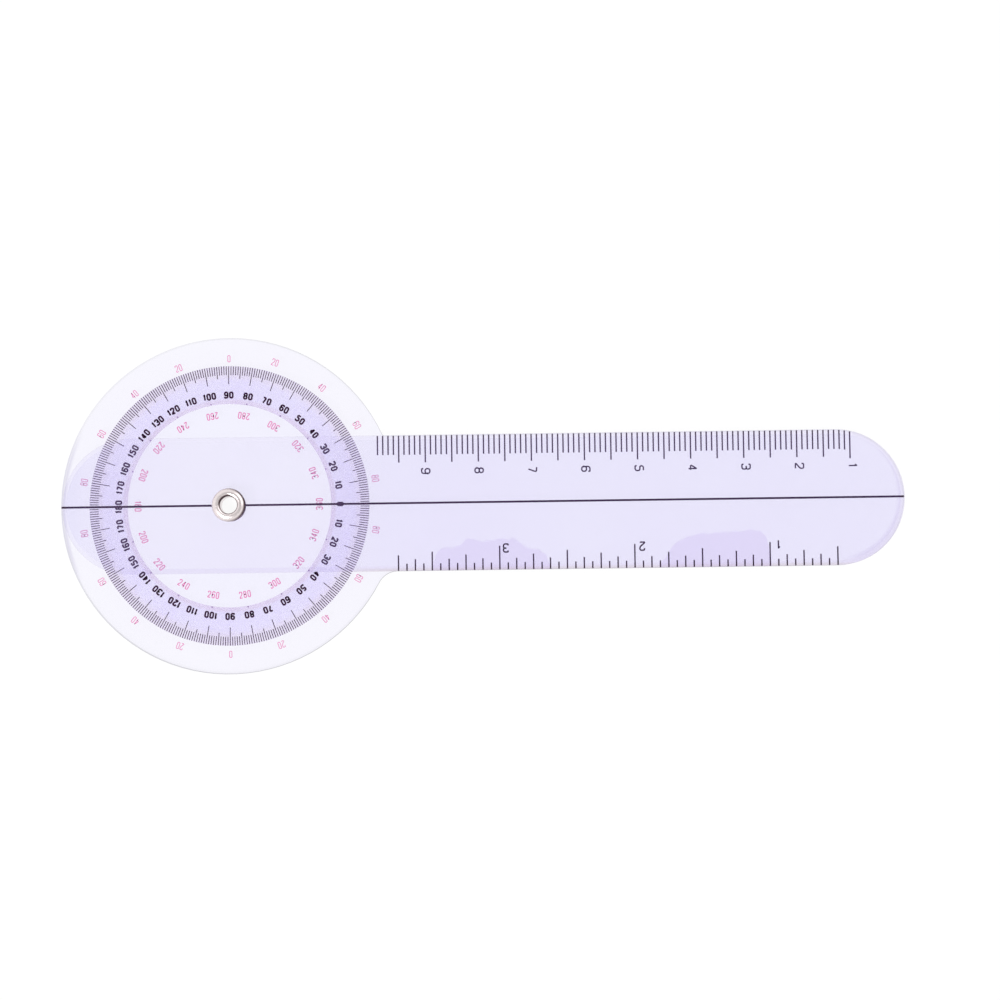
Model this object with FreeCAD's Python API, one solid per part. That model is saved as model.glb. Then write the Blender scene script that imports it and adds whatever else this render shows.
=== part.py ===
import FreeCAD, Part
import math
import os

# A clear 360 degree goniometer. A protractor disc and its fixed arm are cut from one sheet, a moving
# arm lies on top of it, and a hollow eyelet pins the two together. Sizes are in millimetres.
# The origin is on the pivot axis at the protractor sheet's underside. +X runs along the fixed arm
# to its tip, and +Z runs up through the eyelet.

# Sheets
disc_diameter = 63.5
arm_reach = 127.0  # pivot axis to the tip of either arm
arm_width = 25.6
sheet_thickness = 1.5
upper_shoulder_radius = 0.8  # fillet where the disc's rim meets the fixed arm's metric edge
lower_shoulder_radius = 4.0  # and its plain edge
edge_break = 0.15  # round the protractor's underside, which is cut nearly square
arm_bevel = 0.9  # round the moving arm's top
tail_inset = 0.3  # moving arm's round tail, in from the disc's rim
sheet_gap = 0.15  # air between the sheets, which takes the printing on their inner faces

# Pivot eyelet
bore_radius = 1.6
eyelet_wall = 0.3
head_overhang = 1.25  # head's rim, out from the shank
head_height = 0.55
roll_overhang = 1.05  # rolled end's rim, out from the shank
roll_height = 0.45
seat_clearance = 0.02  # shank in the protractor's hole, which it doesn't turn in
running_clearance = 0.06  # shank in the moving arm's hole
head_clearance = 0.03  # moving arm under the head

# Printing
ink_thickness = 0.03
print_inset = 0.05  # printing stops this far short of an edge
hairline_width = 0.38

# Degree scale, on the disc
scale_margin = 5.35  # disc's rim to the printed band
band_width = 7.2
degree_mark_margin = 0.03  # band's outer edge to the marks
degree_mark_width = 0.14
degree_mark_length = 1.67
five_degree_mark_length = 2.32
ten_degree_mark_length = 3.42
dot_radius = 0.15
dot_sides = 8  # enough to look round at this size
dot_margin = 0.05  # band's inner edge to the dots
dot_step = 20  # degrees from one dot to the next

# Rulers, one on each arm, both read from the tip
millimetre_spacing = 1.0
inch_spacing = 25.4
metric_blank = 9.5  # tip to where the metric marks may start
metric_overrun = 1.5  # and how far inside the disc's rim they may run
inch_blank = 12.0  # tip to where the inch marks may start
ruler_mark_width = 0.27
millimetre_mark_length = 3.63
centimetre_mark_length = 5.09  # half centimetres too
sixteenth_mark_length = 1.33
eighth_mark_length = 2.15
quarter_mark_length = 2.92
half_mark_length = 3.52
inch_mark_length = 4.48

# Sizes that follow
disc_radius = disc_diameter / 2
arm_half = arm_width / 2
tip_centre = arm_reach - arm_half
tail_centre = arm_half + tail_inset - disc_radius

protractor_top = sheet_thickness
arm_bottom = protractor_top + sheet_gap
arm_top = arm_bottom + sheet_thickness

shank_radius = bore_radius + eyelet_wall
head_radius = shank_radius + head_overhang
roll_radius = shank_radius + roll_overhang
head_seat = arm_top + head_clearance
protractor_hole_radius = shank_radius + seat_clearance
arm_hole_radius = shank_radius + running_clearance

band_outer = disc_radius - scale_margin
band_inner = band_outer - band_width
marks_outer = band_outer - degree_mark_margin
marks_base = protractor_top + ink_thickness  # degree marks lie on the band
arm_print = arm_bottom - ink_thickness  # moving arm's printing hangs under it

origin = FreeCAD.Vector(0, 0, 0)
up = FreeCAD.Vector(0, 0, 1)


def at(x, y, z=0.0):
    return FreeCAD.Vector(x, y, z)


def polar(radius, angle):
    return at(radius * math.cos(angle), radius * math.sin(angle))


def mirrored(point):
    # The same point on the other side of the arm's centre line.
    return at(point.x, -point.y)


def arc(start, middle, end):
    return Part.Arc(start, middle, end).toShape()


def line(start, end):
    return Part.LineSegment(start, end).toShape()


def drum(radius, bottom, height):
    return Part.makeCylinder(radius, height, at(0, 0, bottom))


def shoulder_centre(radius):
    # The fillet's circle touches the disc's rim from outside and the fixed arm's edge from beyond.
    y = arm_half + radius
    x = math.sqrt((disc_radius + radius) ** 2 - y**2)
    return at(x, y)


def shoulder(radius):
    # Start, middle and end of the fillet on the arm's upper side, from the disc's rim to the arm.
    centre = shoulder_centre(radius)
    rim_angle = math.atan2(centre.y, centre.x)
    # The middle lies on the line from the fillet's centre that halves its turn.
    halfway = (math.pi + rim_angle + 1.5 * math.pi) / 2
    return [polar(disc_radius, rim_angle), centre + polar(radius, halfway), at(centre.x, arm_half)]


def round_tip():
    # The half circle that ends either arm, from its upper edge to its lower one.
    return arc(at(tip_centre, arm_half), at(arm_reach, 0), at(tip_centre, -arm_half))


def protractor_outline():
    upper = shoulder(upper_shoulder_radius)
    lower = [mirrored(point) for point in shoulder(lower_shoulder_radius)]
    edges = [
        arc(*upper),
        line(upper[-1], at(tip_centre, arm_half)),
        round_tip(),
        line(at(tip_centre, -arm_half), lower[-1]),
        arc(*reversed(lower)),
        arc(lower[0], at(-disc_radius, 0), upper[0]),
    ]
    return Part.Wire(edges)


def moving_arm_outline():
    tail = at(tail_centre - arm_half, 0)
    edges = [
        line(at(tail_centre, arm_half), at(tip_centre, arm_half)),
        round_tip(),
        line(at(tip_centre, -arm_half), at(tail_centre, -arm_half)),
        arc(at(tail_centre, -arm_half), tail, at(tail_centre, arm_half)),
    ]
    return Part.Wire(edges)


def cut_sheet(outline, bottom, outer_face, bevel, hole_radius):
    # A flat sheet with a bevel all round its outer face, and a hole on the pivot axis.
    blank = Part.Face(outline).extrude(up * sheet_thickness)
    blank.translate(up * bottom)
    near = sheet_thickness / 4
    rim = [edge for edge in blank.Edges if abs(edge.CenterOfMass.z - outer_face) < near]
    bevelled = blank.makeChamfer(bevel, rim)
    return bevelled.cut(drum(hole_radius, bottom, sheet_thickness))


def protractor_sheet():
    return cut_sheet(protractor_outline(), 0.0, 0.0, edge_break, protractor_hole_radius)


def moving_arm_sheet():
    return cut_sheet(moving_arm_outline(), arm_bottom, arm_top, arm_bevel, arm_hole_radius)


def upright(radius, angle):
    # The same as polar, but in the XZ plane.
    return at(radius * math.cos(angle), 0, radius * math.sin(angle))


def curled_flange(rim, height):
    # A flange that turns out of the bore like a bell, crests and domes down to its rim. Its section
    # stands on the XZ plane's X axis, and it is hollow underneath.
    bell_centre = at(bore_radius + height, 0)
    crest = bell_centre + upright(height, math.pi / 2)
    reach = rim - crest.x
    dome_radius = (reach**2 + height**2) / (2 * height)
    dome_centre = crest - upright(dome_radius, math.pi / 2)
    dome_turn = math.asin(reach / dome_radius)
    hollow = [at(rim - eyelet_wall, 0), crest - up * eyelet_wall, at(shank_radius, 0)]
    edges = [
        arc(at(bore_radius, 0), bell_centre + upright(height, 3 * math.pi / 4), crest),
        arc(crest, dome_centre + upright(dome_radius, (math.pi - dome_turn) / 2), at(rim, 0)),
        line(at(rim, 0), hollow[0]),
        line(hollow[0], hollow[1]),
        line(hollow[1], hollow[2]),
        line(hollow[2], at(bore_radius, 0)),
    ]
    return Part.Face(Part.Wire(edges)).revolve(origin, up, 360)


def pivot_eyelet():
    # A thin tube through both sheets, with a curled head on top and a smaller rolled end below.
    shank = drum(shank_radius, 0.0, head_seat)
    bore = drum(bore_radius, 0.0, head_seat)
    head = curled_flange(head_radius, head_height)
    head.translate(up * head_seat)
    roll = curled_flange(roll_radius, roll_height).mirror(origin, up)
    return shank.cut(bore).fuse([head, roll]).removeSplitter()


def scale_band():
    band = drum(band_outer, protractor_top, ink_thickness)
    return band.cut(drum(band_inner, protractor_top, ink_thickness))


def degree_mark(angle, length):
    corner = at(marks_outer - length, -degree_mark_width / 2, marks_base)
    mark = Part.makeBox(length, degree_mark_width, ink_thickness, corner)
    mark.rotate(origin, up, angle)
    return mark


def degree_marks(angles, length):
    # The hairline stands for the marks at 0 and 180 degrees.
    return Part.makeCompound([degree_mark(angle, length) for angle in angles if angle % 180])


def one_degree_marks():
    angles = [angle for angle in range(360) if angle % 5]
    return degree_marks(angles, degree_mark_length)


def five_degree_marks():
    return degree_marks(range(5, 360, 10), five_degree_mark_length)


def ten_degree_marks():
    return degree_marks(range(0, 360, 10), ten_degree_mark_length)


def scale_dot(angle):
    centre = polar(band_inner + dot_margin + dot_radius, math.radians(angle)) + up * marks_base
    turns = [2 * math.pi * side / dot_sides for side in range(dot_sides + 1)]
    rim = Part.makePolygon([centre + polar(dot_radius, turn) for turn in turns])
    return Part.Face(rim).extrude(up * ink_thickness)


def scale_dots():
    return Part.makeCompound([scale_dot(a) for a in range(0, 360, dot_step) if a % 180])


def hairline(left, right, bottom, height):
    corner = at(left, -hairline_width / 2, bottom)
    return Part.makeBox(right - left, hairline_width, height, corner)


def base_hairline():
    # Twice the ink's thickness, because the line steps up over the band that it crosses.
    height = 2 * ink_thickness
    left = print_inset - disc_radius
    bar = hairline(left, arm_reach - print_inset, protractor_top, height)
    pivot = drum(protractor_hole_radius + print_inset, protractor_top, height)
    return bar.cut(pivot).cut(scale_band())


def reading_hairline():
    left = tail_centre - arm_half + print_inset
    bar = hairline(left, arm_reach - print_inset, arm_print, ink_thickness)
    return bar.cut(drum(arm_hole_radius + print_inset, arm_print, ink_thickness))


def print_edge(x):
    # How far from the centre line an arm's printing may reach at x, round the tip too.
    reach = arm_half - print_inset
    past_centre = max(x - tip_centre, 0.0)
    return math.sqrt(reach**2 - past_centre**2)


def ruler_mark(from_tip, length, side, bottom):
    # side is +1 for the arm's upper edge and -1 for its lower one.
    x = arm_reach - from_tip
    outer_end = print_edge(x + ruler_mark_width / 2)
    low = min(side * outer_end, side * (outer_end - length))
    corner = at(x - ruler_mark_width / 2, low, bottom)
    return Part.makeBox(ruler_mark_width, length, ink_thickness, corner)


def millimetre_numbers():
    # The ruler runs from near the tip to just inside the disc's rim.
    rim_x = math.sqrt(disc_radius**2 - arm_half**2)
    first = math.ceil(metric_blank / millimetre_spacing)
    last = math.floor((arm_reach - rim_x + metric_overrun) / millimetre_spacing)
    return range(first, last + 1)


def metric_marks(numbers, length):
    marks = [ruler_mark(n * millimetre_spacing, length, 1, protractor_top) for n in numbers]
    return Part.makeCompound(marks)


def millimetre_marks():
    return metric_marks([n for n in millimetre_numbers() if n % 5], millimetre_mark_length)


def half_centimetre_marks():
    return metric_marks([n for n in millimetre_numbers() if n % 10 == 5], centimetre_mark_length)


def centimetre_marks():
    return metric_marks([n for n in millimetre_numbers() if n % 10 == 0], centimetre_mark_length)


def inch_marks(divisions, length):
    # Marks at this many divisions of an inch. The even ones are left out, as longer marks stand
    # there. The ruler runs from near the tip to the end of the fixed arm's straight plain edge.
    step = inch_spacing / divisions
    straight = arm_reach - shoulder_centre(lower_shoulder_radius).x
    numbers = range(math.ceil(inch_blank / step), math.floor(straight / step) + 1)
    if divisions > 1:
        numbers = [n for n in numbers if n % 2]
    marks = [ruler_mark(n * step, length, -1, arm_print) for n in numbers]
    return Part.makeCompound(marks)


nodes = {
    "protractor_sheet": protractor_sheet(),
    "moving_arm_sheet": moving_arm_sheet(),
    "pivot_eyelet": pivot_eyelet(),
    "scale_band": scale_band(),
    "one_degree_marks": one_degree_marks(),
    "five_degree_marks": five_degree_marks(),
    "ten_degree_marks": ten_degree_marks(),
    "scale_dots": scale_dots(),
    "base_hairline": base_hairline(),
    "millimetre_marks": millimetre_marks(),
    "half_centimetre_marks": half_centimetre_marks(),
    "centimetre_marks": centimetre_marks(),
    "reading_hairline": reading_hairline(),
    "sixteenth_inch_marks": inch_marks(16, sixteenth_mark_length),
    "eighth_inch_marks": inch_marks(8, eighth_mark_length),
    "quarter_inch_marks": inch_marks(4, quarter_mark_length),
    "half_inch_marks": inch_marks(2, half_mark_length),
    "whole_inch_marks": inch_marks(1, inch_mark_length),
}

os.makedirs("parts", exist_ok=True)
for name, shape in nodes.items():
    shape.exportStep(f"parts/{name}.step")
    print(name, len(shape.Solids), "solids, valid", shape.isValid(), round(shape.Volume, 3), "mm3")
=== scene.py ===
import math

import bpy
from mathutils import Matrix, Vector


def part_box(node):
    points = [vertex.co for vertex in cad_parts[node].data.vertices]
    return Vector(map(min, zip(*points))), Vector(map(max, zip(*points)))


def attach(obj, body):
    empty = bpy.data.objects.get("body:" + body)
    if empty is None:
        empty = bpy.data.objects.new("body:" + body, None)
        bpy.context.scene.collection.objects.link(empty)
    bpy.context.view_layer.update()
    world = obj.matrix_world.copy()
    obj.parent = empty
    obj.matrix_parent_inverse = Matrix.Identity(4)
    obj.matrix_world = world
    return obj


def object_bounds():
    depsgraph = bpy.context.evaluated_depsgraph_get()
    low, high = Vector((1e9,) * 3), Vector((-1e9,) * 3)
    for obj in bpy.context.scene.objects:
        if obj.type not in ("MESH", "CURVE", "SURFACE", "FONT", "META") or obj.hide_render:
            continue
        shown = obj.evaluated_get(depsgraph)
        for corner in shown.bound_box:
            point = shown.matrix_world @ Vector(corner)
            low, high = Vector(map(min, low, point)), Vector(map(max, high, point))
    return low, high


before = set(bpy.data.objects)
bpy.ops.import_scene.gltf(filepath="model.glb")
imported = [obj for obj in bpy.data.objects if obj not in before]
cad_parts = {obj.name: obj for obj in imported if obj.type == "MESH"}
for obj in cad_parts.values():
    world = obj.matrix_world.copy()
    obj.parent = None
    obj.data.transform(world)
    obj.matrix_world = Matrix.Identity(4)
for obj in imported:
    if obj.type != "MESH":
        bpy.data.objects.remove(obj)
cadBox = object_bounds()
print("frame loaded:", len(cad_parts), "nodes")

mm = 0.001

# Camera: places in mm in the part's own frame
camera = {
    "place": (54.26, -29.24, 469.73),
    "target": (50.98, 0.36, 1.2),
    "up": (0.0136, 0.9979, 0.063),
    "lens": 89.7,
    "sensor": 36.0,
    "clip": (0.005, 20.0),  # metres
}


def addCamera():
    place = Vector(camera["place"]) * mm
    forward = (Vector(camera["target"]) * mm - place).normalized()
    right = forward.cross(Vector(camera["up"])).normalized()
    above = right.cross(forward)
    turn = Matrix((right, above, -forward)).transposed()  # columns are the camera's own axes
    lens = bpy.data.cameras.new("camera")
    lens.lens = camera["lens"]
    lens.sensor_width = camera["sensor"]
    lens.sensor_fit = "HORIZONTAL"
    lens.clip_start, lens.clip_end = camera["clip"]
    seat = bpy.data.objects.new("camera", lens)
    seat.matrix_world = Matrix.Translation(place) @ turn.to_4x4()
    bpy.context.scene.collection.objects.link(seat)
    bpy.context.scene.camera = seat


addCamera()
print("camera placed")


def newMaterial(name):
    material = bpy.data.materials.new(name)
    material.use_nodes = True
    material.node_tree.nodes.clear()
    return material


def feed(tree, socket, value):
    # Links another socket into this one, or sets a plain number, place or colour on it.
    if isinstance(value, bpy.types.NodeSocket):
        tree.links.new(value, socket)
    elif socket.type == "RGBA":
        socket.default_value = (*value, 1.0)
    else:
        socket.default_value = value


def node(tree, kind, **inputs):
    # Adds a node. Keyword names are its inputs, with _ for a space.
    made = tree.nodes.new(kind)
    for name, value in inputs.items():
        feed(tree, made.inputs[name.replace("_", " ")], value)
    return made


def calc(tree, operation, *values):
    made = tree.nodes.new("ShaderNodeMath")
    made.operation = operation
    for socket, value in zip(made.inputs, values):
        feed(tree, socket, value)
    return made.outputs[0]


def product(tree, first, *others):
    for other in others:
        first = calc(tree, "MULTIPLY", first, other)
    return first


def remainder(tree, share):
    return calc(tree, "SUBTRACT", 1.0, share)


def vectorCalc(tree, operation, *values):
    made = tree.nodes.new("ShaderNodeVectorMath")
    made.operation = operation
    for socket, value in zip(made.inputs, values):
        feed(tree, socket, value)
    return made.outputs


def toward(tree, vector, side):
    # How far a vector reaches toward one side.
    return vectorCalc(tree, "DOT_PRODUCT", vector, side)["Value"]


def reachFrom(tree, place, x=0.0, y=0.0):
    # How far a place is, seen from above, from a point in metres.
    apart = vectorCalc(tree, "MULTIPLY_ADD", place, (1.0, 1.0, 0.0), (-x, -y, 0.0))["Vector"]
    return vectorCalc(tree, "LENGTH", apart)["Value"]


def split(tree, vector):
    return node(tree, "ShaderNodeSeparateXYZ", Vector=vector).outputs


def ramp(tree, value, low, high):
    # 0 below low, 1 above high and smooth between them.
    made = node(tree, "ShaderNodeMapRange", Value=value, From_Min=low, From_Max=high)
    made.interpolation_type = "SMOOTHSTEP"
    return made.outputs[0]


def fade(tree, value, span):
    # The same ramp over a span in mm.
    low, high = span
    return ramp(tree, value, low * mm, high * mm)


def mixColour(tree, factor, a, b):
    made = tree.nodes.new("ShaderNodeMix")
    made.data_type = "RGBA"  # its colours are inputs 6 and 7 and output 2
    for socket, value in ((made.inputs[0], factor), (made.inputs[6], a), (made.inputs[7], b)):
        feed(tree, socket, value)
    return made.outputs[2]


def mixShader(tree, factor, a, b):
    made = node(tree, "ShaderNodeMixShader", Fac=factor)
    tree.links.new(a.outputs[0], made.inputs[1])
    tree.links.new(b.outputs[0], made.inputs[2])
    return made


def finishMaterial(material, shader):
    out = material.node_tree.nodes.new("ShaderNodeOutputMaterial")
    material.node_tree.links.new(shader.outputs[0], out.inputs["Surface"])
    return material


def objectPlace(tree):
    return tree.nodes.new("ShaderNodeTexCoord").outputs["Object"]


noiseSpan = (0.3, 0.7)  # the noise texture seldom leaves these values


def noise(tree, place, size, detail=2.0, low=0.0, high=1.0):
    # Smooth blotches of a size in mm over the object's own space, spread from low to high.
    least, most = noiseSpan
    texture = node(tree, "ShaderNodeTexNoise", Vector=place, Scale=1 / (size * mm), Detail=detail)
    spread = node(tree, "ShaderNodeMapRange", Value=texture.outputs[0], From_Min=least, From_Max=most)
    spread.inputs["To Min"].default_value = low
    spread.inputs["To Max"].default_value = high
    return spread.outputs[0]


# Clear plastic sheets. Each tint is the share of light that one face lets through.
sheet = {
    "deepTint": (0.93, 0.905, 0.985),  # what the faces drift toward
    "drift": {"size": 28.0, "detail": 3.0, "high": 0.1},  # blotches in mm, and the most that they drift
    "roughness": 0.035,
    "wear": {"size": 6.0, "detail": 6.0, "low": 0.6, "high": 1.5},  # blotches, and how they vary it
    "ior": 1.25,  # under plastic's 1.49, so four faces in a row stay clear
    "hazeColour": (0.533, 0.453, 1.0),
    "ruledFrom": (18.0, 30.0),  # mm along both ruled arms over which their tint deepens
    "level": (0.8, 0.95),  # how flat a face lies as its tint passes from an edge's to a face's
    "edgeCurve": 1.5,  # above 1, an edge's painted shade comes in late as it turns toward the shaded side
}
protractor = {
    "haze": 0.0,  # share of the light that each face scatters
    "face": (0.952, 0.949, 1.0),
    "ruled": (0.961, 0.955, 0.999),
    "rim": (0.9725, 0.969, 1.0),  # a little clearer toward the disc's rim
    "rimRing": (22.0, 27.0),  # mm from the pivot over which it clears
    "rimLine": (31.1, 31.5),  # and over which a thin shade begins along the rim itself
    "rimShade": (0.948, 0.944, 0.976),
    "rimShadeEnd": (24.0, 29.0),  # mm along the arm over which that shade ends
    "leftLine": (30.8, 31.4),  # mm from the pivot over which a deeper one begins at the far left
    "leftFrom": (27.5, 30.5),  # and mm left of the pivot
    "leftShade": (0.872, 0.862, 0.93),
    "lowerEdge": (0.912, 0.891, 0.886),  # a narrow shade along the fixed arm's lower edge
    "lowerEdgeWidth": (0.1, 0.8),  # mm in from that edge over which it fades
    # painted light and painted shade on the disc sheet's edges, by the way that they face
    "paintedLitEdge": (0.95, 0.95, 0.97),
    "paintedShadedEdge": (0.58, 0.575, 0.60),
    "shadedSide": (0.75, -0.85, 0.0),  # the way that the edges with the deepest painted shade face; the rim's shade follows it too
    "darkFrom": (-90.0, -80.0),  # mm along the arm over which the painted shade on edges begins, here before the disc
    "darkTo": (105.0, 120.0),  # and over which it fades, so that the edges grow bright again
}
arm = {
    "haze": 0.04,  # it pales the print on the sheet below
    "face": (0.996, 0.993, 0.9895),
    "ruled": (0.9695, 0.9675, 0.9885),
    "tail": (0.966, 0.962, 0.9895),  # over the disc's clearer rim
    "tailEnd": (0.948, 0.945, 0.982),
    "tailEndFrom": (26.5, 30.0),  # mm behind the pivot over which the tail takes its end's tint
    # painted light and painted shade on the arm's edges, by the way that they face
    "paintedLitEdge": (0.99, 0.985, 1.0),
    "paintedShadedEdge": (0.90, 0.87, 0.95),
    "shadedSide": (-0.35, -0.95, 0.0),
    "darkFrom": (-27.0, -12.0),
    "darkTo": (900.0, 999.0),  # the painted shade stays on
    "paintedTipShade": (0.912, 0.896, 0.95),
    "tipWidth": 0.95,  # mm of shade along the rounded tip
    "tipShift": (-0.25, 0.45),  # mm that the shade's inner side is off centre
    "tipSoft": 0.5,  # mm over which its inner side fades, to each side
    "tipStart": 6.0,  # mm over which it comes in where the arm begins to round
}


def balance(tree, value, reach=1.0):
    # From 0 at -reach to 1 at reach.
    return calc(tree, "MULTIPLY_ADD", value, 0.5 / reach, 0.5)


def edgeTint(tree, place, normal, side, tints):
    # Painted light and shade on the edges: from the lit tint to the shaded one by how far the edge faces
    # the shaded side.
    # side is -1 where the edge is seen from inside the sheet, which turns its normal over.
    outward = product(tree, toward(tree, normal, tints["shadedSide"]), side)
    facing = calc(tree, "POWER", balance(tree, outward), sheet["edgeCurve"])
    along = split(tree, place)["X"]
    begun = fade(tree, along, tints["darkFrom"])
    ended = fade(tree, along, tints["darkTo"])
    dark = product(tree, begun, remainder(tree, ended))
    return mixColour(tree, product(tree, facing, dark), tints["paintedLitEdge"], tints["paintedShadedEdge"])


def overDisc(tree, place, where):
    # Two shares: 1 near the disc's rim but for the ruled arms, and 1 along the ruled arms.
    outer = fade(tree, reachFrom(tree, place), protractor["rimRing"])
    along = fade(tree, where["X"], sheet["ruledFrom"])
    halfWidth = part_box("moving_arm_sheet")[1].y
    inside = calc(tree, "LESS_THAN", calc(tree, "ABSOLUTE", where["Y"]), halfWidth)
    ruled = product(tree, along, inside)
    return product(tree, outer, remainder(tree, ruled)), ruled


def rimTint(tree, place, where, plain):
    # plain with the thin shades along the disc's rim, on its dark side and at the far left.
    reach = reachFrom(tree, place)
    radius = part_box("protractor_sheet")[1].y
    dark = balance(tree, toward(tree, place, protractor["shadedSide"]), radius)
    ended = fade(tree, where["X"], protractor["rimShadeEnd"])
    there = product(tree, dark, remainder(tree, ended))
    line = product(tree, fade(tree, reach, protractor["rimLine"]), there)
    shaded = mixColour(tree, line, plain, protractor["rimShade"])
    left = fade(tree, product(tree, where["X"], -1.0), protractor["leftFrom"])
    leftLine = product(tree, fade(tree, reach, protractor["leftLine"]), left)
    return mixColour(tree, leftLine, shaded, protractor["leftShade"])


def protractorTint(tree, place):
    where = split(tree, place)
    nearRim, ruled = overDisc(tree, place, where)
    plain = mixColour(tree, nearRim, protractor["face"], protractor["rim"])
    disc = rimTint(tree, place, where, plain)
    face = mixColour(tree, ruled, disc, protractor["ruled"])
    edge = -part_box("moving_arm_sheet")[1].y
    near, far = (edge + width * mm for width in protractor["lowerEdgeWidth"])
    shaded = remainder(tree, ramp(tree, where["Y"], near, far))
    return mixColour(tree, product(tree, shaded, ruled), face, protractor["lowerEdge"])


# Where the moving arm clings to the sheet below it, along its inch edge: (x, top of the patch) in mm
cling = {
    "outline": [
        (37.6, -12.8), (38.2, -11.4), (38.9, -9.2), (40.0, -8.3), (43.2, -7.9), (44.5, -6.5), (45.4, -6.4),
        (46.6, -7.0), (53.0, -6.6), (54.0, -6.7), (55.3, -8.0), (58.0, -8.6), (59.6, -9.9), (60.6, -12.8),
        (80.6, -12.8), (81.5, -11.1), (82.6, -9.5), (83.9, -7.9), (86.1, -6.6), (89.3, -6.1), (96.0, -5.8),
        (98.2, -5.4), (100.0, -6.0), (100.9, -7.0), (101.4, -8.6), (101.9, -12.8),
    ],
    "span": (30.0, 110.0),  # mm along the arm that the outline's curve covers
    "depth": (-13.0, -5.0),  # and mm across it
    "wander": {"size": 1.6, "low": -0.25, "high": 0.25},  # blotches, and mm that the outline strays
    "soft": 0.7,  # mm over which a patch fades
    "thick": 0.25,  # mm above the arm's underside, so that its upper face stays clear
    "tint": (0.886, 0.845, 0.9555),
}


def clingShare(tree, place):
    # 1 inside a patch on the arm's underside and 0 elsewhere.
    start, end = cling["span"]
    low, high = cling["depth"]
    where = split(tree, place)
    along = node(tree, "ShaderNodeMapRange", Value=where["X"], From_Min=start * mm, From_Max=end * mm)
    curve = node(tree, "ShaderNodeFloatCurve", Value=along.outputs[0])
    points = curve.mapping.curves[0].points
    outline = [((x - start) / (end - start), (y - low) / (high - low)) for x, y in cling["outline"]]
    for across, up in outline:
        points.new(across, up)
    points[0].location = (0.0, outline[0][1])
    points[len(points) - 1].location = (1.0, outline[-1][1])
    for point in points:
        point.handle_type = "VECTOR"
    curve.mapping.update()
    wander = product(tree, noise(tree, place, **cling["wander"]), mm)
    top = calc(tree, "MULTIPLY_ADD", curve.outputs[0], (high - low) * mm, low * mm)
    under = calc(tree, "SUBTRACT", calc(tree, "ADD", top, wander), where["Y"])
    inside = ramp(tree, under, 0.0, cling["soft"] * mm)
    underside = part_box("moving_arm_sheet")[0].z
    bottom = calc(tree, "LESS_THAN", where["Z"], underside + cling["thick"] * mm)
    return product(tree, inside, bottom)


def tipShare(tree, place):
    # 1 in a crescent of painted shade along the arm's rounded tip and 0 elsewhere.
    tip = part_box("moving_arm_sheet")[1]
    centre = tip.x - tip.y  # of the rounding, whose radius is half the arm's width
    x, y = (shift * mm for shift in arm["tipShift"])
    reach = reachFrom(tree, place, centre + x, y)
    inner = tip.y - arm["tipWidth"] * mm
    soft = arm["tipSoft"] * mm
    rounded = ramp(tree, split(tree, place)["X"], centre, centre + arm["tipStart"] * mm)
    return product(tree, ramp(tree, reach, inner - soft, inner + soft), rounded)


def armTint(tree, place):
    where = split(tree, place)
    nearRim, ruled = overDisc(tree, place, where)
    disc = mixColour(tree, nearRim, arm["face"], arm["tail"])
    tailEnd = fade(tree, product(tree, where["X"], -1.0), arm["tailEndFrom"])
    face = mixColour(tree, ruled, mixColour(tree, tailEnd, disc, arm["tailEnd"]), arm["ruled"])
    clung = mixColour(tree, clingShare(tree, place), face, cling["tint"])
    return mixColour(tree, tipShare(tree, place), clung, arm["paintedTipShade"])


def clearPlastic(name, tints, faceTint):
    material = newMaterial(name)
    tree = material.node_tree
    place = objectPlace(tree)
    geometry = tree.nodes.new("ShaderNodeNewGeometry")
    normal = geometry.outputs["True Normal"]
    side = calc(tree, "MULTIPLY_ADD", geometry.outputs["Backfacing"], -2.0, 1.0)
    drift = noise(tree, place, **sheet["drift"])
    face = mixColour(tree, drift, faceTint(tree, place), sheet["deepTint"])
    # painted light and shade on the edges, by the way that they face
    edge = edgeTint(tree, place, normal, side, tints)
    flat = ramp(tree, calc(tree, "ABSOLUTE", split(tree, normal)["Z"]), *sheet["level"])
    clear = node(tree, "ShaderNodeBsdfTransparent", Color=mixColour(tree, flat, edge, face))
    haze = node(tree, "ShaderNodeBsdfDiffuse", Color=sheet["hazeColour"])
    inner = mixShader(tree, product(tree, flat, tints["haze"]), clear, haze)
    rough = product(tree, noise(tree, place, **sheet["wear"]), sheet["roughness"])
    gloss = node(tree, "ShaderNodeBsdfGlossy", Roughness=rough)
    ior = calc(tree, "POWER", sheet["ior"], side)  # turned over where light leaves the sheet
    shine = node(tree, "ShaderNodeFresnel", IOR=ior)
    return finishMaterial(material, mixShader(tree, shine.outputs[0], inner, gloss))


# Printing inks
ink = {
    "black": (0.022, 0.006, 0.024),
    "blackWorn": (0.045, 0.014, 0.048),
    "violet": (0.21, 0.13, 0.30),
    "violetWorn": (0.30, 0.21, 0.40),
    "pink": (0.62, 0.16, 0.38),
    "pinkWorn": (0.68, 0.23, 0.46),
    "grain": {"size": 0.5, "detail": 4.0},  # worn specks in mm
    "specular": 0.1,
    "roughness": 0.6,
}


def printInk(name, colour, worn):
    material = newMaterial(name)
    tree = material.node_tree
    shade = mixColour(tree, noise(tree, objectPlace(tree), **ink["grain"]), colour, worn)
    coat = node(tree, "ShaderNodeBsdfPrincipled", Base_Color=shade, Roughness=ink["roughness"])
    coat.inputs["Specular IOR Level"].default_value = ink["specular"]
    return finishMaterial(material, coat)


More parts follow.
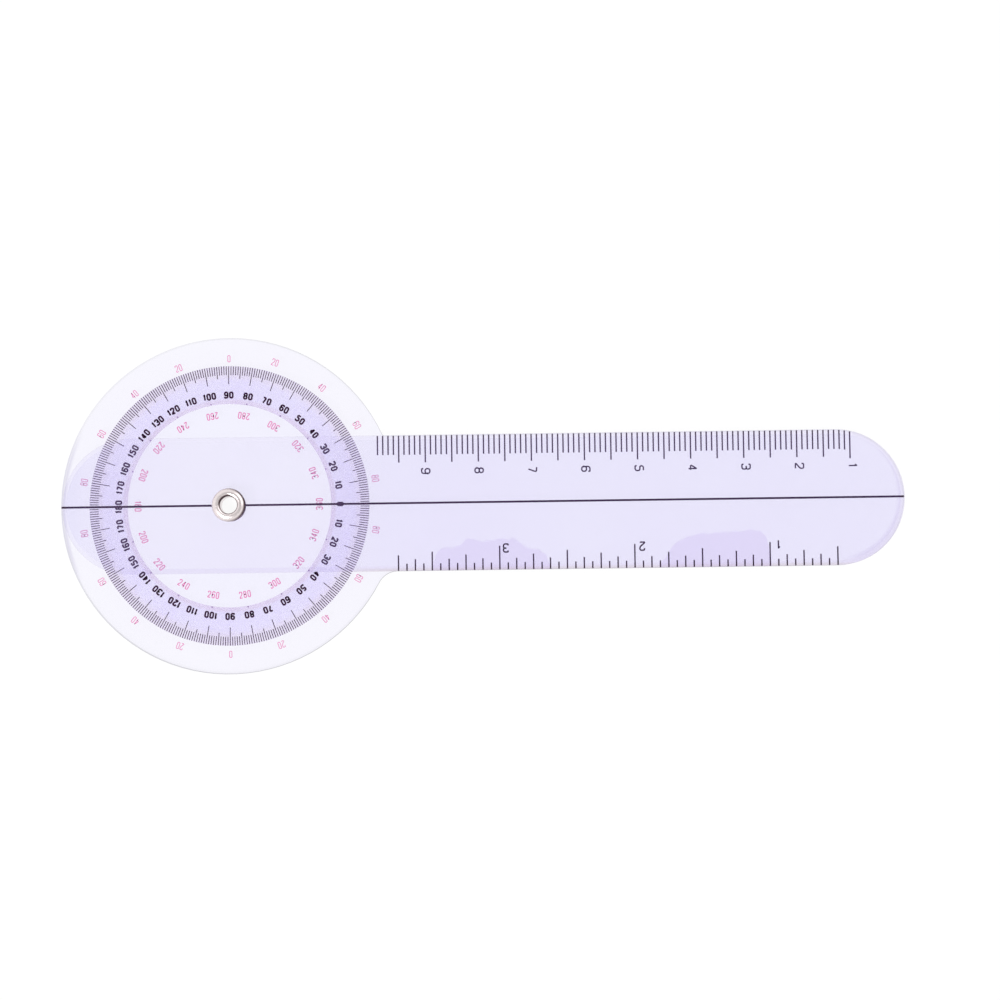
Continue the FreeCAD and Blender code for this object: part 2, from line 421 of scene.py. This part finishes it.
# The see-through ink of the band below the degree marks. Its rings are in mm from the pivot.
bandPrint = {
    "colour": (0.35, 0.21, 0.83),
    "cover": 0.13,  # share of the light that each face of the ink stops
    "outerColour": (0.33, 0.14, 0.60),  # under the degree marks
    "outerRing": (23.4, 24.6),  # where it begins
    "innerColour": (0.35, 0.14, 0.55),  # a thin deeper ring along the band's inner edge
    "innerCover": 0.175,
    "innerRing": (19.9, 20.4),  # where it fades
    "grain": {"size": 0.35, "detail": 3.0, "low": 0.98, "high": 1.02},  # specks, and how they vary it
}


def bandInk(name):
    material = newMaterial(name)
    tree = material.node_tree
    place = objectPlace(tree)
    reach = vectorCalc(tree, "LENGTH", place)["Value"]
    plain = fade(tree, reach, bandPrint["innerRing"])
    outer = fade(tree, reach, bandPrint["outerRing"])
    main = mixColour(tree, outer, bandPrint["colour"], bandPrint["outerColour"])
    colour = mixColour(tree, plain, bandPrint["innerColour"], main)
    inner = bandPrint["innerCover"]
    cover = calc(tree, "MULTIPLY_ADD", plain, bandPrint["cover"] - inner, inner)
    share = product(tree, cover, noise(tree, place, **bandPrint["grain"]))
    clear = tree.nodes.new("ShaderNodeBsdfTransparent")
    coat = node(tree, "ShaderNodeBsdfDiffuse", Color=colour)
    return finishMaterial(material, mixShader(tree, share, clear, coat))


# Eyelet plating
plating = {
    "colour": (0.86, 0.78, 0.78),
    "dull": (0.72, 0.64, 0.64),
    "cloud": {"size": 1.2, "detail": 4.0, "high": 0.5},  # blotches in mm, and the most that they dull
    "scuff": {"size": 0.4, "detail": 5.0, "low": 0.16, "high": 0.28},  # and the roughness they give
    "metallic": 0.9,
    # painted shade and dark reflection on the head's rim and in the bore's lip, deepest on one side
    "paintedShade": (0.07, 0.04, 0.045),
    "rimRing": (2.66, 3.02),  # mm from the axis over which the head's rim takes that painted shade
    "rimSide": (1.0, 0.0, 0.0),  # the side that it is deepest on
    "rimSpread": (-2.0, 3.4),  # mm toward that side over which it deepens
    "lipRing": (1.62, 1.92),  # mm from the axis over which the bore's lip grows bright again
    "lipSide": (-0.64, 0.77, 0.0),
    "lipSpread": (0.1, 1.7),
    "lipWider": 0.18,  # mm by which its painted shade is wider on that side
    "lipLeast": 0.45,  # share of its painted shade on the far side
    "lipHeight": (2.6, 3.0),  # mm; the bore is bright below the lip
}


def tarnishShare(tree, place):
    # Painted shade and dark reflection: up to 1 along the head's rim and round the bore's lip, and 0
    # elsewhere.
    reach = reachFrom(tree, place)
    rimSide = fade(tree, toward(tree, place, plating["rimSide"]), plating["rimSpread"])
    rim = product(tree, fade(tree, reach, plating["rimRing"]), rimSide)
    lipSide = fade(tree, toward(tree, place, plating["lipSide"]), plating["lipSpread"])
    least = plating["lipLeast"]
    depth = calc(tree, "MULTIPLY_ADD", lipSide, 1.0 - least, least)
    narrowed = calc(tree, "MULTIPLY_ADD", lipSide, -plating["lipWider"] * mm, reach)
    inner = remainder(tree, fade(tree, narrowed, plating["lipRing"]))
    high = fade(tree, split(tree, place)["Z"], plating["lipHeight"])
    return calc(tree, "MAXIMUM", rim, product(tree, inner, high, depth))


def nickelPlate(name):
    material = newMaterial(name)
    tree = material.node_tree
    place = objectPlace(tree)
    cloud = noise(tree, place, **plating["cloud"])
    plate = mixColour(tree, cloud, plating["colour"], plating["dull"])
    # painted shade and dark reflection laid over the plate
    shade = mixColour(tree, tarnishShare(tree, place), plate, plating["paintedShade"])
    rough = noise(tree, place, **plating["scuff"])
    metal = node(tree, "ShaderNodeBsdfPrincipled", Base_Color=shade, Roughness=rough)
    metal.inputs["Metallic"].default_value = plating["metallic"]
    return finishMaterial(material, metal)


lavenderSheet = clearPlastic("clear_lavender_sheet", protractor, protractorTint)
lavenderArm = clearPlastic("clear_lavender_arm", arm, armTint)
blackInk = printInk("black_screen_ink", ink["black"], ink["blackWorn"])
violetInk = printInk("violet_screen_ink", ink["violet"], ink["violetWorn"])
pinkInk = printInk("pink_screen_ink", ink["pink"], ink["pinkWorn"])
lavenderInk = bandInk("lavender_band_ink")
nickel = nickelPlate("bright_nickel_plate")

finishes = {
    "protractor_sheet": lavenderSheet,
    "moving_arm_sheet": lavenderArm,
    "pivot_eyelet": nickel,
    "scale_band": lavenderInk,
    "scale_dots": violetInk,
}
for name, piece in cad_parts.items():
    finish = finishes.get(name, blackInk)
    for slot in piece.material_slots:
        slot.material = finish
print("finishes laid on the CAD nodes")


# Figures. Each is a list of pen strokes in a unit box, with a True where the stroke closes.
figures = {
    "0": [([(0, 0), (1, 0), (1, 1), (0, 1)], True)],
    "1": [([(0.1, 0.74), (0.62, 1), (0.62, 0)], False)],
    "2": [([(0, 0.74), (0, 1), (1, 1), (1, 0.58), (0, 0.1), (0, 0), (1, 0)], False)],
    "3": [
        ([(0, 0.8), (0, 1), (1, 1), (1, 0.52), (0.35, 0.52)], False),
        ([(0.35, 0.52), (1, 0.52), (1, 0), (0, 0), (0, 0.2)], False),
    ],
    "4": [
        ([(0.74, 0), (0.74, 1)], False),
        ([(0.7, 0.96), (0.02, 0.3)], False),
        ([(0, 0.26), (1, 0.26)], False),
    ],
    "5": [([(0.95, 1), (0.05, 1), (0.02, 0.56), (1, 0.6), (1, 0), (0, 0), (0, 0.2)], False)],
    "6": [
        ([(0, 0), (1, 0), (1, 0.58), (0, 0.58)], True),
        ([(1, 0.8), (1, 1), (0, 1), (0, 0.3)], False),
    ],
    "7": [([(0, 1), (1, 1), (0.36, 0)], False)],
    "8": [
        ([(0, 0), (1, 0), (1, 0.52), (0, 0.52)], True),
        ([(0.04, 0.52), (0.96, 0.52), (0.96, 1), (0.04, 1)], True),
    ],
    "9": [
        ([(1, 1), (0, 1), (0, 0.42), (1, 0.42)], True),
        ([(0, 0.2), (0, 0), (1, 0), (1, 0.7)], False),
    ],
}
pen = {
    "narrow": 0.62,  # width of a 1 as a share of the other figures
    "cuts": 4,  # straight pieces in each rounded corner
    "sameSpot": 1e-4,  # mm; points closer than this are one
    "leastLean": 0.6,  # keeps a sharp corner short
}


def roundCorners(points, closed, radius):
    # Turns each corner of a stroke into a short curve.
    count = len(points)
    rounded = []
    for i, corner in enumerate(points):
        if not closed and i in (0, count - 1):
            rounded.append(corner)
            continue
        before = points[i - 1] - corner
        after = points[(i + 1) % count] - corner
        reach = min(radius, before.length / 2, after.length / 2)
        start = corner + before.normalized() * reach
        end = corner + after.normalized() * reach
        for step in range(pen["cuts"] + 1):
            t = step / pen["cuts"]
            rounded.append(start * (1 - t) ** 2 + corner * 2 * t * (1 - t) + end * t**2)
    least = pen["sameSpot"]
    return [p for i, p in enumerate(rounded) if i == 0 or (p - rounded[i - 1]).length > least]


def strokeSides(points, closed, weight):
    # The stroke's left and right edge at every point.
    count = len(points)
    sides = []
    for i, point in enumerate(points):
        before = points[i - 1] if closed or i else None
        after = points[(i + 1) % count] if closed or i < count - 1 else None
        first = (point - before).normalized() if before is not None else (after - point).normalized()
        second = (after - point).normalized() if after is not None else first
        along = (first + second).normalized()
        across = Vector((-along.y, along.x))
        lean = max(across.dot(Vector((-first.y, first.x))), pen["leastLean"])
        sides.append((point + across * weight / 2 / lean, point - across * weight / 2 / lean))
    return sides


def figureStrokes(figure, style):
    # One figure's strokes in mm, with its lower left corner at the origin, and its width.
    width = style["width"] * (pen["narrow"] if figure == "1" else 1.0)
    weight = style["weight"]
    strokes = []
    for points, closed in figures[figure]:
        spread = [
            Vector((weight / 2 + x * (width - weight), weight / 2 + y * (style["height"] - weight)))
            for x, y in points
        ]
        rounded = roundCorners(spread, closed, style["corner"])
        strokes.append((strokeSides(rounded, closed, weight), closed))
    return strokes, width


def addLabel(shape, text, style, centre, above, low, high):
    # Adds a number's strokes to shape as thin solids. above points to the figures' tops.
    laid = [figureStrokes(figure, style) for figure in text]
    length = sum(width for strokes, width in laid) + style["gap"] * (len(laid) - 1)
    right = Vector((above.y, -above.x))
    start = centre - right * length / 2 - above * style["height"] / 2
    for strokes, width in laid:
        for sides, closed in strokes:
            laidOut = [[start + right * p.x + above * p.y for p in pair] for pair in sides]
            addStroke(shape, laidOut, closed, low, high)
        start = start + right * (width + style["gap"])


def addStroke(shape, sides, closed, low, high):
    points, faces = shape
    first = len(points)
    for left, right in sides:
        points += [
            (left.x * mm, left.y * mm, low),
            (right.x * mm, right.y * mm, low),
            (right.x * mm, right.y * mm, high),
            (left.x * mm, left.y * mm, high),
        ]
    count = len(sides)
    for i in range(count if closed else count - 1):
        a = first + 4 * i
        b = first + 4 * ((i + 1) % count)
        for side in range(4):
            turn = (side + 1) % 4
            faces.append((a + side, a + turn, b + turn, b + side))
    if not closed:
        last = first + 4 * (count - 1)
        faces.append((first + 3, first + 2, first + 1, first))
        faces.append((last, last + 1, last + 2, last + 3))


def printNumbers(name, labels, style, layer, finish, body):
    # One piece for a whole row of numbers: labels are (text, centre, above) in mm.
    low, high = (corner.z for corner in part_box(layer))
    shape = ([], [])
    for text, centre, above in labels:
        addLabel(shape, text, style, centre, above, low, high)
    mesh = bpy.data.meshes.new(name)
    mesh.from_pydata(shape[0], [], shape[1])
    mesh.materials.append(finish)
    piece = bpy.data.objects.new(name, mesh)
    bpy.context.scene.collection.objects.link(piece)
    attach(piece, body)
    print(name, len(labels), "numbers")


def outward(angle):
    return Vector((math.cos(math.radians(angle)), math.sin(math.radians(angle))))


def mirroredDegrees(angle):
    return angle if angle <= 180 else 360 - angle


# Bold numbers from 0 to 180 on both halves of the band, with their tops outward. All sizes in mm
degreeNumbers = {
    "height": 1.37,
    "width": 0.87,
    "weight": 0.33,
    "gap": 0.09,
    "corner": 0.3,
    "ring": 20.9,  # from the pivot to the figures' middle
}


def degreeLabels(style):
    ring = style["ring"]
    return [(str(mirroredDegrees(a)), outward(a) * ring, outward(a)) for a in range(0, 360, 10)]


# Pink numbers from 360 down to 180 inside the band, with their tops inward
supplementNumbers = {
    "height": 1.33,
    "width": 0.62,
    "weight": 0.18,
    "gap": 0.16,
    "corner": 0.25,
    "ring": 17.1,
    "centre": (-0.15, 0.06),  # the pink print lies a little off the pivot
}


def supplementLabels(style):
    labels = []
    for angle in range(0, 360, 20):
        place = Vector(style["centre"]) + outward(angle) * style["ring"]
        labels.append((str(360 - mirroredDegrees(angle)), place, -outward(angle)))
    return labels


# Pink numbers from 0 to 80 outside the band, counted from the upright
rimNumbers = {
    "height": 1.35,
    "width": 0.56,
    "weight": 0.13,
    "gap": 0.16,
    "corner": 0.2,
    "ring": 27.9,
    "centre": (0.07, -0.1),
    "slip": {30: (-0.07, 1.04), 50: (-0.44, 0.85), 70: (-0.82, 0.85)},  # by angle: three sit high
}


def rimLabels(style):
    labels = []
    for angle in range(10, 360, 20):
        slip = Vector(style["slip"].get(angle, (0, 0)))
        place = Vector(style["centre"]) + outward(angle) * style["ring"] + slip
        labels.append((str(abs(90 - mirroredDegrees(angle))), place, outward(angle)))
    return labels


# The centimetre numbers lie on their sides and the inch numbers stand upside down. Each row's own
# step is a little longer than its ruler's, so the numbers creep along their marks.
centimetreNumbers = {
    "height": 1.82,
    "width": 1.18,
    "weight": 0.27,
    "gap": 0.2,
    "corner": 0.5,
    "last": 9,
    "step": 10.055,
    "shift": 0.56,  # moves the row off its marks
    "line": 6.0,  # from the arm's middle
    "above": (1, 0),  # the way that the figures' tops point
}
inchNumbers = {
    "height": 1.8,
    "width": 1.14,
    "weight": 0.28,
    "gap": 0.2,
    "corner": 0.5,
    "last": 3,
    "step": 25.64,
    "shift": 1.87,
    "line": -8.72,
    "above": (0, -1),
}


def rulerLabels(style):
    # The numbers from 1, counted from the arms' tip.
    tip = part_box("moving_arm_sheet")[1].x / mm
    labels = []
    for number in range(1, style["last"] + 1):
        place = Vector((tip - style["step"] * number + style["shift"], style["line"]))
        labels.append((str(number), place, Vector(style["above"])))
    return labels


numberInks = {"black_ink": blackInk, "violet_ink": pinkInk}
rows = [
    ("degree_numbers", degreeLabels, degreeNumbers, "ten_degree_marks", "protractor", "black_ink"),
    ("supplement_numbers", supplementLabels, supplementNumbers, "scale_band", "protractor", "violet_ink"),
    ("rim_numbers", rimLabels, rimNumbers, "scale_band", "protractor", "violet_ink"),
    ("centimetre_numbers", rulerLabels, centimetreNumbers, "centimetre_marks", "protractor", "black_ink"),
    ("inch_numbers", rulerLabels, inchNumbers, "whole_inch_marks", "moving_arm", "black_ink"),
]
for name, labels, style, layer, body, slot in rows:
    printNumbers(name, labels(style), style, layer, numberInks[slot], body)


# Floor, light and background
studio = {
    "white": (1.0, 1.0, 1.0),
    "floorSize": 3.0,
    "floorColour": (0.98, 0.98, 0.98),
    "floorShare": 0.91,  # share of the floor that is plain white to the eye; the rest takes the shadow
    "mirrorShare": 0.9,  # the same share as polished faces mirror it
    "world": 0.8,
    "overhead": 0.55,  # what polished faces mirror from straight above
    "overheadFrom": (0.7, 0.97),  # heights in the sky, up to 1, over which it dims to that
    "key": {"place": (-0.35, -0.4, 0.9), "size": 0.35, "power": 5.2},
    "fill": {"place": (0.7, 0.5, 0.8), "size": 0.9, "power": 2.0},
}


def byRay(tree, seen, mirrored, rest):
    # seen for what the eye sees straight or through glass, mirrored in polished faces, rest for light.
    path = tree.nodes.new("ShaderNodeLightPath")
    eye = calc(tree, "MAXIMUM", path.outputs["Is Camera Ray"], path.outputs["Is Transmission Ray"])
    polished = node(tree, "ShaderNodeMix", Factor=path.outputs["Is Glossy Ray"], A=rest, B=mirrored)
    return node(tree, "ShaderNodeMix", Factor=eye, A=polished.outputs[0], B=seen).outputs[0]


def addFloor():
    half = studio["floorSize"] / 2
    low = cadBox[0][2]
    corners = [(-half, -half, low), (half, -half, low), (half, half, low), (-half, half, low)]
    mesh = bpy.data.meshes.new("floor")
    mesh.from_pydata(corners, [], [(0, 1, 2, 3)])
    material = newMaterial("white_floor")
    tree = material.node_tree
    lit = node(tree, "ShaderNodeBsdfDiffuse", Color=studio["floorColour"])
    plain = node(tree, "ShaderNodeEmission", Color=studio["white"], Strength=1.0)
    share = byRay(tree, studio["floorShare"], studio["mirrorShare"], 0.0)
    finishMaterial(material, mixShader(tree, share, lit, plain))
    mesh.materials.append(material)
    floor = bpy.data.objects.new("floor", mesh)
    bpy.context.scene.collection.objects.link(floor)


def addLamp(name, lamp):
    light = bpy.data.lights.new(name, "AREA")
    light.size = lamp["size"]
    light.energy = lamp["power"]
    stand = bpy.data.objects.new(name, light)
    place = Vector(lamp["place"])
    stand.matrix_world = Matrix.Translation(place) @ place.to_track_quat("Z", "Y").to_matrix().to_4x4()
    bpy.context.scene.collection.objects.link(stand)


def mirroredSky(tree):
    # White all round, but dim overhead.
    way = tree.nodes.new("ShaderNodeTexCoord").outputs["Generated"]
    above = ramp(tree, split(tree, way)["Z"], *studio["overheadFrom"])
    return remainder(tree, product(tree, above, 1.0 - studio["overhead"]))


def addWorld():
    world = bpy.data.worlds.new("studio")
    world.use_nodes = True
    tree = world.node_tree
    tree.nodes.clear()
    strength = byRay(tree, 1.0, mirroredSky(tree), studio["world"])
    sky = node(tree, "ShaderNodeBackground", Color=studio["white"], Strength=strength)
    out = tree.nodes.new("ShaderNodeOutputWorld")
    tree.links.new(sky.outputs[0], out.inputs["Surface"])
    bpy.context.scene.world = world


addFloor()
addLamp("key", studio["key"])
addLamp("fill", studio["fill"])
addWorld()
bpy.context.scene.view_settings.view_transform = "Standard"
bpy.context.scene.cycles.transparent_max_bounces = 40  # the sheets and inks lie many layers deep
print("studio set")
